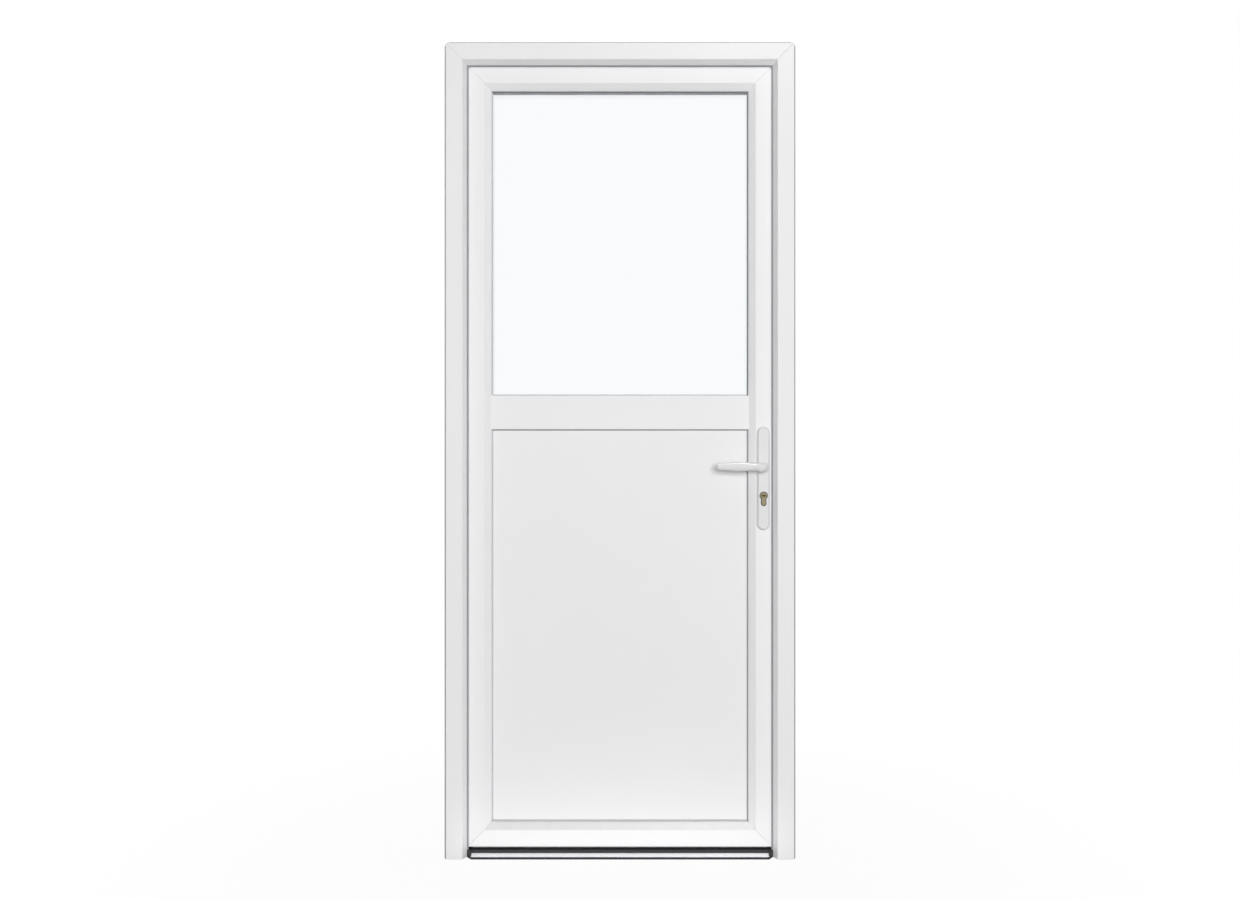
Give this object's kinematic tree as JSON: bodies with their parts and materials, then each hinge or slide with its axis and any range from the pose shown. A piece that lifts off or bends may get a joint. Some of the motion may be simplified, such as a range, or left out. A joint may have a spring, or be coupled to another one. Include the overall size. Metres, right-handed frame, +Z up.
{
  "type": "service door",
  "caption": "White PVC service door in its frame: glazed upper half, plain lower panel, flat middle rail, low threshold, lever handle on a long plate and key cylinder; opens inwards.",
  "frame": {"origin": "middle of the threshold's underside", "axes": "+X from the hinge side to the lock side, +Y from outside to inside, +Z up"},
  "size_m": [0.88, 0.174, 2.048],
  "materials": {
    "frame_pvc": "white, smooth satin",
    "leaf_pvc": "white, smooth satin",
    "panel_pvc": "white, smooth satin",
    "grey_gasket": "matt grey",
    "threshold_aluminium": "mill finish, fine lines along its length",
    "threshold_black": "matt black",
    "clear_glass": "clear",
    "spacer_aluminium": "satin",
    "white_furniture": "white lacquer",
    "white_hinge": "white lacquer",
    "lock_steel": "zinc plated",
    "cylinder_brass": "satin"
  },
  "bodies": {
    "frame": {"hinge_jamb": "frame_pvc", "lock_jamb": "frame_pvc", "head": "frame_pvc", "threshold_sill": "threshold_aluminium", "threshold_upstand": "threshold_black", "hinge_end_block": "threshold_black", "lock_end_block": "threshold_black", "frame_gasket": "grey_gasket", "lower_keeper": "lock_steel", "strike_plate": "lock_steel", "upper_keeper": "lock_steel", "lower_hinge_frame_half": "white_hinge", "middle_hinge_frame_half": "white_hinge", "upper_hinge_frame_half": "white_hinge"},
    "leaf": {"hinge_stile": "leaf_pvc", "lock_stile": "leaf_pvc", "top_rail": "leaf_pvc", "bottom_rail": "leaf_pvc", "mid_rail": "leaf_pvc", "outer_pane": "clear_glass", "inner_pane": "clear_glass", "glass_spacer": "spacer_aluminium", "lower_panel": "panel_pvc", "glass_gasket": "grey_gasket", "panel_gasket": "grey_gasket", "glass_bead_left": "leaf_pvc", "glass_bead_top": "leaf_pvc", "glass_bead_right": "leaf_pvc", "glass_bead_bottom": "leaf_pvc", "panel_bead_left": "leaf_pvc", "panel_bead_top": "leaf_pvc", "panel_bead_right": "leaf_pvc", "panel_bead_bottom": "leaf_pvc", "leaf_gasket": "grey_gasket", "lock_faceplate": "lock_steel", "latch_bolt": "lock_steel", "dead_bolt": "lock_steel", "outside_plate": "white_furniture", "inside_plate": "white_furniture", "lock_cylinder": "cylinder_brass", "lower_hinge_leaf_half": "white_hinge", "middle_hinge_leaf_half": "white_hinge", "upper_hinge_leaf_half": "white_hinge"},
    "levers": {"outside_lever": "white_furniture", "inside_lever": "white_furniture"},
    "plug": {"outside_plug": "cylinder_brass"}
  },
  "joints": [
    {"name": "leaf_swing", "type": "hinge", "parent": "frame", "child": "leaf", "pos_m": [-0.415, 0.058, 1.0085], "axis": [0, 0, 1], "range_deg": [0, 110]},
    {"name": "lever_turn", "type": "hinge", "parent": "leaf", "child": "levers", "pos_m": [0.361, 0.0215, 0.982], "axis": [0, -1, 0], "range_deg": [-45, 45], "stiffness_Nm_per_rad": 1.5, "springref_deg": -5.44},
    {"name": "plug_turn", "type": "hinge", "parent": "leaf", "child": "plug", "pos_m": [0.361, -0.02, 0.91], "axis": [0, -1, 0], "continuous": true}
  ]
}
